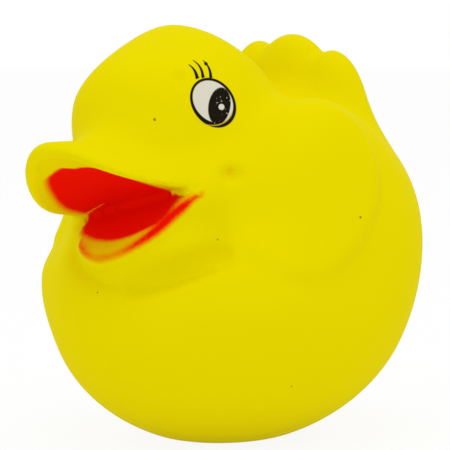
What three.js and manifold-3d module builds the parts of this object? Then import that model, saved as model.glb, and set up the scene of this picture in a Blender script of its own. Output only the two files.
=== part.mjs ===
// Bath duck with an open bill: one hollow moulding in soft vinyl, with a squeaker plug under its base.
// Millimetres, +Z up. The bill points to -Y and the duck's left side is +X.

import * as THREE from 'three';
import { mergeVertices } from 'three/addons/utils/BufferGeometryUtils.js';
import Module from 'manifold-3d';

const wasm = await Module();
wasm.setup();

// Driving dimensions of the moulding
const WALL = 2.2;
const BODY = { centre: [0, 0.8, 32.6], radii: [38.5, 42.4, 34] };
const BODY_LEAN = 0.08;
const BODY_LEAN_HEIGHT = 36;
const RUMP = { centre: [0, 13.5, 47], radii: [36, 27.6, 28.6] };
const SHOULDER = { centre: [20.9, -14.9, 34.8], radii: [15.5, 15.6, 14.8] };
const NECK = { centre: [0, -9, 55], radii: [25, 19, 17] };

// Widths over which the masses flow into one another
const TRUNK_FLOW = { rump: 8, shoulder: 8, neck: 8, tail: 6, wingTop: 10, wing: 4 };
const HEAD_FLOW = { brow: 3, nape: 3, cheek: 4, crease: 4, corner: 3 };

// Fan tail of three petals
const TAIL_MIDDLE = { centre: [0, 20.5, 66], radii: [14.5, 8, 22.8] };
const TAIL_SIDE = { centre: [11.3, 21, 64.2], radii: [9.8, 8, 22] };
const TAIL_GROOVE = 2;
const TAIL_ROLL = 0.14;

// Wing: an oval raised off the flank, with a rounded top that stands clear of the back
const WING_TOP = { centre: [27, -1, 56], radii: [9, 17, 19] };
const WING_OVAL = { forward: 10.5, height: 57.5, halfWidth: 14.5, halfLength: 19, turn: 0.7 };
const WING_RELIEF = { rear: 1.7, front: 0.1 };
const WING_EDGE = 2;

// Head, cocked to the duck's right; its own axes are side, forward and up from the head's middle
const HEAD_MIDDLE = [0, -17.2, 69.7];
const HEAD_TILT = THREE.MathUtils.degToRad(13);
const HEAD_RADIUS = 22;
const BROW = { around: Math.PI / 4, above: 0.99, reach: 20.4 };
const NAPE = { around: 2.4, above: 0.89, reach: 21.1 };
const RIDGE = 4.4;
const CHEEK = { centre: [14, 6, -14], radii: [7, 8, 7] };
const CHIN = { centre: [0, 7.5, -24.6], radii: [17.6, 16.2, 13.4] };
const CHIN_CREASE = { width: 1.5, depth: 3 };
const CORNER = { centre: [14.5, 11, -17.4], radii: [5.5, 6.5, 5] };
const BILL_ROOM = { centre: [0, 10, -18], radii: [19, 17.5, 9] };
const CHIN_FILLET = 4;
const NECK_FILLET = 9;
const BILL_FILLET = 8;

// Bill, in the head's axes
const BILL_DROP = -3.2;
const UPPER = { middle: 16.4, halfWidth: 17.4, halfLength: 22.5, crown: 0.6, crownCurve: 0.042, rim: 2.4 };
const PALATE = { depth: 13.2, rise: 8.2, roll: 0.08, hinge: 10.4, length: 22, width: 16.6, most: 1.2 };
const LOWER = { middle: 10.3, halfWidth: 17.2, halfLength: 14.06, halfThickness: 1.2, rim: 1.1 };
const FLOOR = { depth: 12.3, hinge: 11, slope: 0.764, cup: 0.006 };
const LIP_FILLET = 3;
const MOUTH_END = 52;
const MOUTH_STATIONS = 12;
const MOUTH_POINTS = 14;
const MOUTH_EASE = 1.5;

// Base hole and squeaker plug
const BASE_WALL = 2.8;
const BASE_MIDDLE = -4.2;
const HOLE_RADIUS = 4.5;
const RECESS_RADIUS = 6;
const RECESS_DEPTH = 1.3;
const GAP = 0.3;
const PIN_SIDES = 40;
const PLUG_SIDES = 24;
const BLOCK = 200;
const PLUG = { flangeTop: 1, barbReach: 1, barbTop: 5.6, tube: 3.2, top: 10, bore: 1.3 };

// Triangles of the skins and how they are drawn down
const OUTER_DETAIL = 20;
const INNER_DETAIL = 7;
const CORE = new THREE.Vector3(0, 0, 46);
const START_RADIUS = 62;
const START_GAP = 11;
const START_LEAN = new THREE.Vector3(0, -0.42, 0.1);
const DRAW_ROUNDS = 60;
const EVEN_ROUNDS = 50;
const SLIDE = 0.6;
const WELD = 1e-4;
const PROBE = 0.05;
const LEAST_SLOPE = 0.5;
const FINE_SPOT = new THREE.Vector3(0, -48, 57);
const FINE_REACH = 28;
const FINE_PULL = 1;

const { clamp, lerp } = THREE.MathUtils;

// Two forms flow into each other over a width
function blend(a, b, width) {
  const near = Math.max(width - Math.abs(a - b), 0) / width;
  return Math.min(a, b) - near * near * width * 0.25;
}

// A form is taken out of another with a rounded edge
function carve(a, b, width) {
  return -blend(-a, b, width);
}

// Signed distance to an ellipsoid
function egg(x, y, z, { centre, radii }) {
  const u = (x - centre[0]) / radii[0];
  const v = (y - centre[1]) / radii[1];
  const w = (z - centre[2]) / radii[2];
  const length = Math.hypot(u, v, w);
  const slope = Math.hypot(u / radii[0], v / radii[1], w / radii[2]);
  return (length * (length - 1)) / Math.max(slope, 1e-6);
}

// Signed distance to an ellipse in a plane
function oval(u, v, halfU, halfV) {
  const length = Math.hypot(u / halfU, v / halfV);
  const slope = Math.hypot(u / halfU / halfU, v / halfV / halfV);
  return (length * (length - 1)) / Math.max(slope, 1e-6);
}

// What lies inside both an outline and a thickness, with a rounded edge
function plate(outline, thickness, radius) {
  const reach = Math.hypot(Math.max(outline + radius, 0), Math.max(thickness + radius, 0));
  return reach + Math.min(Math.max(outline, thickness) + radius, 0) - radius;
}

// A place in the head's own axes
function toHead(x, y, z) {
  const dx = x - HEAD_MIDDLE[0];
  const dz = z - HEAD_MIDDLE[2];
  const side = dx * Math.cos(HEAD_TILT) + dz * Math.sin(HEAD_TILT);
  const up = dz * Math.cos(HEAD_TILT) - dx * Math.sin(HEAD_TILT);
  return [side, HEAD_MIDDLE[1] - y, up];
}

// A place in the head's axes, back in the duck's
function fromHead(side, forward, up) {
  const x = HEAD_MIDDLE[0] + side * Math.cos(HEAD_TILT) - up * Math.sin(HEAD_TILT);
  const z = HEAD_MIDDLE[2] + side * Math.sin(HEAD_TILT) + up * Math.cos(HEAD_TILT);
  return [x, HEAD_MIDDLE[1] - forward, z];
}

// Height of the palate: level at the hinge, arched and rolled towards the front
function palate(side, forward) {
  const open = clamp((forward - PALATE.hinge) / PALATE.length, 0, PALATE.most);
  const arch = 1 - (side / PALATE.width) ** 2;
  return BILL_DROP - PALATE.depth + (PALATE.rise * arch + PALATE.roll * side) * open;
}

// Height of the lower bill's floor: falling towards the front, cupped across
function mouthFloor(side, forward) {
  return BILL_DROP - FLOOR.depth - FLOOR.slope * (forward - FLOOR.hinge) + FLOOR.cup * side * side;
}

// Body, shoulders, tail and wings
function trunk(x, y, z) {
  const s = Math.abs(x);
  let form = egg(x, y + BODY_LEAN * (BODY_LEAN_HEIGHT - z), z, BODY);
  form = blend(form, egg(x, y, z, RUMP), TRUNK_FLOW.rump);
  form = blend(form, egg(s, y, z, SHOULDER), TRUNK_FLOW.shoulder);
  form = blend(form, egg(x, y, z, NECK), TRUNK_FLOW.neck);
  const raised = z + TAIL_ROLL * x;
  const tail = blend(egg(x, y, raised, TAIL_MIDDLE), egg(s, y, raised, TAIL_SIDE), TAIL_GROOVE);
  form = blend(form, tail, TRUNK_FLOW.tail);
  form = blend(form, egg(s, y, z, WING_TOP), TRUNK_FLOW.wingTop);
  const forward = -y - WING_OVAL.forward;
  const height = z - WING_OVAL.height;
  const across = forward * Math.cos(WING_OVAL.turn) + height * Math.sin(WING_OVAL.turn);
  const along = height * Math.cos(WING_OVAL.turn) - forward * Math.sin(WING_OVAL.turn);
  const outline = oval(across, along, WING_OVAL.halfWidth, WING_OVAL.halfLength);
  const front = clamp(0.5 + (0.5 * forward) / WING_OVAL.halfWidth, 0, 1);
  const relief = lerp(WING_RELIEF.rear, WING_RELIEF.front, front);
  return blend(form, plate(outline, form - relief, WING_EDGE), TRUNK_FLOW.wing);
}

// Signed distance to a pair of flats on the head that meet in a soft ridge
function flats(side, forward, up, { around, above, reach }) {
  const level = Math.hypot(side, RIDGE) * Math.sin(around) + forward * Math.cos(around);
  return level * Math.cos(above) + up * Math.sin(above) - reach;
}

// Head ball with its flattened brow and nape, and cheeks
function skull(side, forward, up) {
  const ball = Math.hypot(side, forward, up) - HEAD_RADIUS;
  const browed = carve(ball, -flats(side, forward, up, BROW), HEAD_FLOW.brow);
  const head = carve(browed, -flats(side, forward, up, NAPE), HEAD_FLOW.nape);
  return blend(head, egg(Math.abs(side), forward, up, CHEEK), HEAD_FLOW.cheek);
}

// The duck without its bill, with the chin set into a crease and the breast clear of the lower bill
function hollowForm(x, y, z) {
  const [side, forward, up] = toHead(x, y, z);
  const chin = egg(side, forward, up, CHIN);
  const whole = trunk(x, y, z);
  const crease = Math.max(chin - CHIN_CREASE.width, -whole - CHIN_CREASE.depth);
  const room = Math.min(crease, egg(side, forward, up, BILL_ROOM));
  const body = carve(whole, room, HEAD_FLOW.crease);
  const jowl = blend(chin, egg(Math.abs(side), forward, up, CORNER), HEAD_FLOW.corner);
  return blend(blend(body, skull(side, forward, up), NECK_FILLET), jowl, CHIN_FILLET);
}

// Upper and lower half of the bill, and the web that would fill the mouth between their edges
function bill(side, forward, up) {
  const a = Math.abs(side);
  const top = BILL_DROP + UPPER.crown - UPPER.crownCurve * a * a;
  const roof = palate(side, forward);
  const high = (top + roof) / 2;
  const low = mouthFloor(a, forward) - LOWER.halfThickness;
  const upperPlan = oval(a, forward - UPPER.middle, UPPER.halfWidth, UPPER.halfLength);
  const upperDepth = (Math.abs(up - high) - (top - roof) / 2) / Math.hypot(1, 2 * UPPER.crownCurve * a);
  const lowerPlan = oval(a, forward - LOWER.middle, LOWER.halfWidth, LOWER.halfLength);
  const lowerDepth = (Math.abs(up - low) - LOWER.halfThickness) / Math.hypot(1, FLOOR.slope);
  const share = clamp((up - low) / Math.max(high - low, 1), 0, 1);
  const between = oval(
    a,
    forward - lerp(LOWER.middle, UPPER.middle, share),
    lerp(LOWER.halfWidth, UPPER.halfWidth, share),
    lerp(LOWER.halfLength, UPPER.halfLength, share),
  );
  return {
    upper: plate(upperPlan, upperDepth, UPPER.rim),
    lower: plate(lowerPlan, lowerDepth, LOWER.rim),
    web: Math.max(between, low - up, up - high),
  };
}

// The duck with the mouth filled to the edges of the bill: the upper half grows out of the head, the lower
// out of the chin
function closedForm(x, y, z) {
  const [side, forward, up] = toHead(x, y, z);
  const { upper, lower, web } = bill(side, forward, up);
  const chinned = blend(hollowForm(x, y, z), lower, LIP_FILLET);
  const headed = blend(skull(side, forward, up), upper, BILL_FILLET);
  return Math.min(chinned, headed, web);
}

// Outward direction of a form at a place
function outward(form, p, here) {
  const g = new THREE.Vector3(
    form(p.x + PROBE, p.y, p.z) - here,
    form(p.x, p.y + PROBE, p.z) - here,
    form(p.x, p.y, p.z + PROBE) - here,
  );
  return g.divideScalar(PROBE);
}

// Moves a place onto the form's skin, or a set distance above it
function settle(form, p, above) {
  const here = form(p.x, p.y, p.z);
  const g = outward(form, p, here);
  const slope = Math.max(g.length(), LEAST_SLOPE);
  p.addScaledVector(g, (above - here) / slope ** 2);
  return g.normalize();
}

// A closed skin: a ball of even triangles drawn down onto a form and evened out along it
function skin(form, detail) {
  const ball = new THREE.IcosahedronGeometry(START_RADIUS, detail);
  ball.deleteAttribute('normal');
  ball.deleteAttribute('uv');
  const mesh = mergeVertices(ball, WELD);
  const place = mesh.getAttribute('position');
  const index = mesh.getIndex();
  const points = [];
  const beside = [];
  for (let i = 0; i < place.count; i++) {
    const ray = new THREE.Vector3().fromBufferAttribute(place, i).normalize().add(START_LEAN);
    points.push(ray.setLength(START_RADIUS).add(CORE));
    beside.push(new Set());
  }
  for (let t = 0; t < index.count; t += 3) {
    for (let k = 0; k < 3; k++) {
      beside[index.getX(t + k)].add(index.getX(t + ((k + 1) % 3)));
      beside[index.getX(t + ((k + 1) % 3))].add(index.getX(t + k));
    }
  }
  for (let round = 1; round <= DRAW_ROUNDS + EVEN_ROUNDS; round++) {
    const above = START_GAP * Math.max(0, 1 - round / DRAW_ROUNDS);
    const pull = points.map((p) => {
      const near = Math.exp(-p.distanceToSquared(FINE_SPOT) / FINE_REACH ** 2);
      return 1 + FINE_PULL * near;
    });
    const next = points.map((p, i) => {
      const mean = new THREE.Vector3();
      let total = 0;
      for (const j of beside[i]) {
        mean.addScaledVector(points[j], pull[j]);
        total += pull[j];
      }
      return mean.divideScalar(total).sub(p);
    });
    points.forEach((p, i) => {
      const g = settle(form, p, above);
      const slide = next[i].addScaledVector(g, -next[i].dot(g));
      p.addScaledVector(slide, SLIDE);
      settle(form, p, above);
    });
  }
  points.forEach((p, i) => place.setXYZ(i, p.x, p.y, p.z));
  return mesh;
}

// The space of the mouth: lens sections between floor and palate, from the hinge out past the bill
function mouthSpace(grow) {
  const clear = (forward) => palate(0, forward) - mouthFloor(0, forward) + 2 * grow;
  let hinge = -MOUTH_END;
  for (let step = MOUTH_END; step > WELD; step /= 2) {
    while (clear(hinge + step) < 0) {
      hinge += step;
    }
  }
  const places = [...fromHead(0, hinge, palate(0, hinge) + grow)];
  const ring = 2 * MOUTH_POINTS;
  for (let k = 1; k <= MOUTH_STATIONS; k++) {
    const forward = hinge + (MOUTH_END - hinge) * (k / MOUTH_STATIONS) ** MOUTH_EASE;
    const arch = palate(0, forward) - (palate(1, forward) + palate(-1, forward)) / 2;
    const fall = arch + mouthFloor(1, forward) - mouthFloor(0, forward);
    const shift = (palate(1, forward) - palate(-1, forward)) / 4 / fall;
    const half = Math.sqrt(clear(forward) / fall + shift * shift);
    for (let i = 0; i < ring; i++) {
      const side = shift + half * Math.cos((Math.PI * i) / MOUTH_POINTS);
      const over = i < MOUTH_POINTS;
      const up = over ? palate(side, forward) + grow : mouthFloor(side, forward) - grow;
      places.push(...fromHead(side, forward, up));
    }
  }
  const faces = [];
  for (let i = 0; i < ring; i++) {
    const j = (i + 1) % ring;
    faces.push(0, 1 + j, 1 + i);
    for (let k = 0; k < MOUTH_STATIONS - 1; k++) {
      const a = 1 + k * ring;
      const b = a + ring;
      faces.push(a + i, a + j, b + i);
      faces.push(a + j, b + j, b + i);
    }
  }
  const end = 1 + (MOUTH_STATIONS - 1) * ring;
  for (let i = 0; i < MOUTH_POINTS; i++) {
    const j = i + 1;
    const lowI = (ring - i) % ring;
    const lowJ = ring - j;
    if (i > 0) {
      faces.push(end + i, end + lowJ, end + lowI);
    }
    if (j < MOUTH_POINTS) {
      faces.push(end + i, end + j, end + lowJ);
    }
  }
  const geometry = new THREE.BufferGeometry();
  geometry.setAttribute('position', new THREE.Float32BufferAttribute(places, 3));
  geometry.setIndex(faces);
  return geometry;
}

// A closed geometry as a solid that can be joined and cut
function solid(geometry) {
  const bare = geometry.clone();
  bare.deleteAttribute('normal');
  bare.deleteAttribute('uv');
  const merged = mergeVertices(bare, WELD);
  const vertProperties = new Float32Array(merged.getAttribute('position').array);
  const triVerts = new Uint32Array(merged.getIndex().array);
  return new wasm.Manifold(new wasm.Mesh({ numProp: 3, vertProperties, triVerts }));
}

// A solid back as a geometry
function geometryOf(body) {
  const mesh = body.getMesh();
  const geometry = new THREE.BufferGeometry();
  geometry.setAttribute('position', new THREE.Float32BufferAttribute(mesh.vertProperties, 3));
  geometry.setIndex(new THREE.BufferAttribute(new Uint32Array(mesh.triVerts), 1));
  return geometry;
}

// A block that takes away everything below a height
function below(height) {
  return solid(new THREE.BoxGeometry(BLOCK, BLOCK, BLOCK).translate(0, 0, height - BLOCK / 2));
}

// An upright pin at the middle of the base
function pin(radius, bottom, top) {
  const rod = new THREE.CylinderGeometry(radius, radius, top - bottom, PIN_SIDES);
  rod.rotateX(Math.PI / 2);
  return solid(rod.translate(0, BASE_MIDDLE, (top + bottom) / 2));
}

// The moulding
const air = solid(skin((x, y, z) => hollowForm(x, y, z) + WALL, INNER_DETAIL))
  .subtract(solid(mouthSpace(WALL + 2 * LOWER.halfThickness)))
  .subtract(below(BASE_WALL));
const moulding = solid(skin(closedForm, OUTER_DETAIL))
  .subtract(solid(mouthSpace(0)))
  .subtract(below(0))
  .subtract(air)
  .subtract(pin(HOLE_RADIUS, -1, BASE_WALL + 1))
  .subtract(pin(RECESS_RADIUS, -1, RECESS_DEPTH));

// The plug: flange in the recess, neck in the hole, barb behind the wall, tube with its bore
const neck = HOLE_RADIUS - GAP;
const barbFoot = BASE_WALL + GAP;
const outline = [
  [PLUG.bore, GAP],
  [RECESS_RADIUS - GAP, GAP],
  [RECESS_RADIUS - GAP, PLUG.flangeTop],
  [neck, PLUG.flangeTop],
  [neck, barbFoot],
  [HOLE_RADIUS + PLUG.barbReach, barbFoot],
  [PLUG.tube, PLUG.barbTop],
  [PLUG.tube, PLUG.top],
  [PLUG.bore, PLUG.top],
  [PLUG.bore, GAP],
].map(([radius, height]) => new THREE.Vector2(radius, height));
const plug = new THREE.LatheGeometry(outline, PLUG_SIDES);
plug.rotateX(Math.PI / 2);
plug.translate(0, BASE_MIDDLE, 0);
plug.deleteAttribute('normal');
plug.deleteAttribute('uv');

// The bottom middle of the whole stands at the origin
const bodyGeometry = geometryOf(moulding);
bodyGeometry.computeBoundingBox();
const middle = bodyGeometry.boundingBox.getCenter(new THREE.Vector3());

const vinyl = new THREE.MeshStandardMaterial({ color: 0xebdc00, roughness: 0.5, metalness: 0 });
const plastic = new THREE.MeshStandardMaterial({ color: 0xf2f0e8, roughness: 0.45, metalness: 0 });

const duckBody = new THREE.Mesh(bodyGeometry.translate(-middle.x, -middle.y, 0), vinyl);
duckBody.name = 'duck_body';
const squeaker = new THREE.Mesh(mergeVertices(plug, WELD).translate(-middle.x, -middle.y, 0), plastic);
squeaker.name = 'squeaker';

const group = new THREE.Group();
group.name = 'bath_duck';
group.add(duckBody, squeaker);

export default group;
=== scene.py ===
import logging
import math
from dataclasses import asdict, dataclass, field
from enum import Enum
from typing import Optional, Sequence, Union

import bpy
import numpy as np
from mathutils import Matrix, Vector


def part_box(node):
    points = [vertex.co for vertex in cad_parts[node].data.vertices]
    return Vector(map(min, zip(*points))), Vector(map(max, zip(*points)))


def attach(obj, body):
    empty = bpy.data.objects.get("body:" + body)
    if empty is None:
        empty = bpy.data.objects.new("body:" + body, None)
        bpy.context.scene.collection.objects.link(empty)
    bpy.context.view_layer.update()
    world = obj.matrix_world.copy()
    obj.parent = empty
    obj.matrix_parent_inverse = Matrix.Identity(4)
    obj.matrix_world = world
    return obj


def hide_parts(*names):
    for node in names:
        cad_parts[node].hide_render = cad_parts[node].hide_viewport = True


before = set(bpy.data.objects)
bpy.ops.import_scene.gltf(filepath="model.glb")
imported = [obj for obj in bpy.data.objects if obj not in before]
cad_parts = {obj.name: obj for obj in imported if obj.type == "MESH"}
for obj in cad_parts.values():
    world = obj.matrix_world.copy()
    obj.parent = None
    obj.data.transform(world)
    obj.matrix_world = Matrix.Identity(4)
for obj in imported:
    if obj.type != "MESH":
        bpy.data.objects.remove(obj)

LOG = logging.getLogger("bath_duck")
MILLIMETRE = 0.001
BASE_MIDDLE = -4.2
FAR = 1000.0
LEAST_SLOPE = 1e-6
MERGE_REACH = 1e-6
TRACE_LIMIT = 8.0
Row = np.ndarray
Spot = tuple[Row, Row, Row]
Triple = tuple[float, float, float]
Pair = tuple[float, float]
Socket = bpy.types.NodeSocket
Feed = Union[Socket, float, tuple]
Feeds = dict[Union[str, int], Feed]


class Trace(Enum):
    """Names of the values that the moulding's skin carries for its paint."""

    MOUTH = "mouth_spray"
    LIP = "lip_stroke"
    HEAT = "lip_heat"


class Node(Enum):
    """Names of the two moulded pieces in the frame."""

    BODY = "duck_body"
    PLUG = "squeaker"


class Slot(Enum):
    """Names of the record's material slots."""

    VINYL = "vinyl"
    PLUG = "plug"


def mould_shift() -> Triple:
    """Where the mould's origin lies in the frame: the squeaker stands at the middle of the base.

    Returns:
        The shift, in millimetres.
    """
    low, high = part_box(Node.PLUG.value)
    middle = (low + high) / 2.0 / MILLIMETRE
    return (middle.x, middle.y - BASE_MIDDLE, 0.0)


def blend(a: Row, b: Row, width: float) -> Row:
    """Two forms, given by distances to them, flow into each other over a width."""
    near = np.maximum(width - np.abs(a - b), 0.0) / width
    return np.minimum(a, b) - near * near * width * 0.25


def carve(a: Row, b: Row, width: float) -> Row:
    """The second form is taken out of the first with an edge rounded over a width."""
    return -blend(-a, b, width)


def ramp(value: Row, start: float, end: float) -> Row:
    """A smooth rise from 0 at start to 1 at end."""
    t = np.clip((value - start) / (end - start), 0.0, 1.0)
    return t * t * (3.0 - 2.0 * t)


def between(ends: Pair, share: Row) -> Row:
    """A value that goes from the first end to the second as the share goes from 0 to 1."""
    return ends[0] + (ends[1] - ends[0]) * share


def mirrored(spot: Spot) -> Spot:
    """Places folded over onto the duck's left."""
    return (np.abs(spot[0]), spot[1], spot[2])


def ellipsoid(offsets: Sequence[Row], halves: Sequence[Union[Row, float]]) -> Row:
    """Signed distance to an ellipse or an ellipsoid about the origin.

    Args:
        offsets: Places along each of its axes.
        halves: Its half lengths.

    Returns:
        Distances, negative inside.
    """
    scaled = [offset / half for offset, half in zip(offsets, halves)]
    length = np.sqrt(sum(u * u for u in scaled))
    slope = np.sqrt(sum((u / half) ** 2 for u, half in zip(scaled, halves)))
    return length * (length - 1.0) / np.maximum(slope, LEAST_SLOPE)


def plate(outline: Row, thickness: Row, radius: float) -> Row:
    """What lies inside both an outline and a thickness, with an edge of a radius."""
    reach = np.hypot(np.maximum(outline + radius, 0.0), np.maximum(thickness + radius, 0.0))
    return reach + np.minimum(np.maximum(outline, thickness) + radius, 0.0) - radius


@dataclass(frozen=True)
class Egg:
    """An ellipsoid mass of the moulding: its middle and its three half lengths, in millimetres."""

    centre: Triple
    radii: Triple

    def distance(self, spot: Spot) -> Row:
        """Signed distance to the ellipsoid, negative inside."""
        return ellipsoid([place - middle for place, middle in zip(spot, self.centre)], self.radii)


@dataclass(frozen=True)
class Fold:
    """A soft straight fold pressed into the skin: its middle line's ends, its radius and its edges' flow."""

    start: Triple
    end: Triple
    radius: float
    flow: float

    def distance(self, spot: Spot) -> Row:
        """Signed distance to the fold's round bar.

        Args:
            spot: Places in the mould's axes.

        Returns:
            Distances, negative inside.
        """
        along = np.array(self.end) - np.array(self.start)
        away = np.stack(spot, axis=-1) - np.array(self.start)
        share = np.clip(away @ along / (along @ along), 0.0, 1.0)
        return np.linalg.norm(away - share[..., None] * along, axis=-1) - self.radius


@dataclass(frozen=True)
class Flat:
    """A flattened place on the head ball: its direction in radians, its reach and its edge's flow."""

    around: float
    above: float
    reach: float
    flow: float

    def height(self, spot: Spot) -> Row:
        """How far places in the head's axes stand out beyond the flat."""
        level = (spot[0] * math.sin(self.around) + spot[1] * math.cos(self.around)) * math.cos(self.above)
        return level + spot[2] * math.sin(self.above) - self.reach


@dataclass(frozen=True)
class HeadAxes:
    """The cocked head's own axes: side to the duck's left, forward along the bill, and up.

    The middle is in the mould's millimetres, and the shift is that of the mould in the frame.
    """

    middle: Triple = (0.0, -17.2, 69.7)
    tilt: float = math.radians(13.0)
    shift: Triple = field(default_factory=mould_shift)

    def to_head(self, spot: Spot) -> Spot:
        """Places of the mould in the head's axes.

        Args:
            spot: Places in the mould's axes.

        Returns:
            Side, forward and up.
        """
        dx = spot[0] - self.middle[0]
        dz = spot[2] - self.middle[2]
        side = dx * math.cos(self.tilt) + dz * math.sin(self.tilt)
        up = dz * math.cos(self.tilt) - dx * math.sin(self.tilt)
        return side, self.middle[1] - spot[1], up

    def origin(self) -> Triple:
        """The head's middle in the frame, in metres."""
        return tuple((m + s) * MILLIMETRE for m, s in zip(self.middle, self.shift))


@dataclass(frozen=True)
class Trunk:
    """Body, rump, shoulders, neck, fan tail and wings of the moulding, in millimetres."""

    body: Egg = Egg((0.0, 0.8, 32.6), (38.5, 42.4, 34.0))
    lean: float = 0.08
    lean_height: float = 36.0
    rump: Egg = Egg((0.0, 13.5, 47.0), (36.0, 27.6, 28.6))
    shoulder: Egg = Egg((20.9, -14.9, 34.8), (15.5, 15.6, 14.8))
    neck: Egg = Egg((0.0, -9.0, 55.0), (25.0, 19.0, 17.0))
    mass_flow: float = 8.0
    tail_middle: Egg = Egg((0.0, 20.5, 66.0), (14.5, 8.0, 22.8))
    tail_side: Egg = Egg((11.3, 21.0, 64.2), (9.8, 8.0, 22.0))
    tail_groove: float = 2.0
    tail_flow: float = 6.0
    tail_roll: float = 0.09
    wing_top: Egg = Egg((27.0, -1.0, 56.0), (9.0, 17.0, 19.0))
    wing_top_flow: float = 10.0
    wing_forward: float = 10.5
    wing_height: float = 57.5
    wing_half: Pair = (14.5, 19.0)
    wing_turn: float = 0.7
    wing_relief: Pair = (1.7, 0.1)
    wing_edge: float = 2.0
    wing_flow: float = 4.0

    def distance(self, spot: Spot) -> Row:
        """Signed distance to the trunk.

        Args:
            spot: Places in the mould's axes.

        Returns:
            Distances, negative inside.
        """
        x, y, z = spot
        pair = mirrored(spot)
        form = self.body.distance((x, y + self.lean * (self.lean_height - z), z))
        for mass, at in ((self.rump, spot), (self.shoulder, pair), (self.neck, spot)):
            form = blend(form, mass.distance(at), self.mass_flow)
        raised = z + self.tail_roll * x
        sides = self.tail_side.distance((pair[0], y, raised))
        tail = blend(self.tail_middle.distance((x, y, raised)), sides, self.tail_groove)
        form = blend(form, tail, self.tail_flow)
        form = blend(form, self.wing_top.distance(pair), self.wing_top_flow)
        forward = -y - self.wing_forward
        height = z - self.wing_height
        across = forward * math.cos(self.wing_turn) + height * math.sin(self.wing_turn)
        along = height * math.cos(self.wing_turn) - forward * math.sin(self.wing_turn)
        outline = ellipsoid((across, along), self.wing_half)
        front = np.clip(0.5 + 0.5 * forward / self.wing_half[0], 0.0, 1.0)
        relief = between(self.wing_relief, front)
        return blend(form, plate(outline, form - relief, self.wing_edge), self.wing_flow)


@dataclass(frozen=True)
class Head:
    """Head ball with its flattened brow, cheeks, chin and mouth corners, in the head's millimetres."""

    radius: float = 22.0
    ridge: float = 4.4
    brow: Flat = Flat(math.pi / 4, 0.99, 20.4, 3.0)
    nape: Flat = Flat(2.4, 0.89, 21.1, 3.0)
    cheek: Egg = Egg((14.0, 6.0, -14.0), (7.0, 8.0, 7.0))
    cheek_flow: float = 4.0
    chin: Egg = Egg((0.0, 7.5, -24.6), (17.6, 16.2, 13.4))
    chin_crease: float = 1.7
    crease_flow: float = 4.0
    crease_depth: float = 3.0
    corner: Egg = Egg((14.5, 11.0, -17.4), (5.5, 6.5, 5.0))
    corner_flow: float = 3.0
    bill_room: Egg = Egg((0.0, 10.0, -18.0), (19.0, 17.5, 9.0))
    dimple: Egg = Egg((23.2, 8.1, -14.5), (2.5, 2.5, 1.9))
    dimple_flow: float = 1.4
    chin_flow: float = 4.0
    neck_flow: float = 9.0

    def skull(self, spot: Spot) -> Row:
        """Signed distance to the head ball with brow and cheeks.

        Args:
            spot: Places in the head's axes.

        Returns:
            Distances, negative inside.
        """
        side, forward, up = spot
        ridged = (np.hypot(side, self.ridge), forward, up)
        ball = np.sqrt(side * side + forward * forward + up * up) - self.radius
        for flat in (self.brow, self.nape):
            ball = carve(ball, -flat.height(ridged), flat.flow)
        return blend(ball, self.cheek.distance(mirrored(spot)), self.cheek_flow)

    def joined(self, body: Row, spot: Spot) -> Row:
        """The head set on the trunk, with the chin in its crease and the breast clear of the lower bill.

        Args:
            body: Distances to the trunk.
            spot: Places in the head's axes.

        Returns:
            Distances to the duck without its bill.
        """
        pair = mirrored(spot)
        chin = self.chin.distance(spot)
        crease = np.maximum(chin - self.chin_crease, -body - self.crease_depth)
        clear = carve(body, np.minimum(crease, self.bill_room.distance(spot)), self.crease_flow)
        jowl = blend(chin, self.corner.distance(pair), self.corner_flow)
        whole = blend(blend(clear, self.skull(spot), self.neck_flow), jowl, self.chin_flow)
        return carve(whole, self.dimple.distance(pair), self.dimple_flow)


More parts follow.
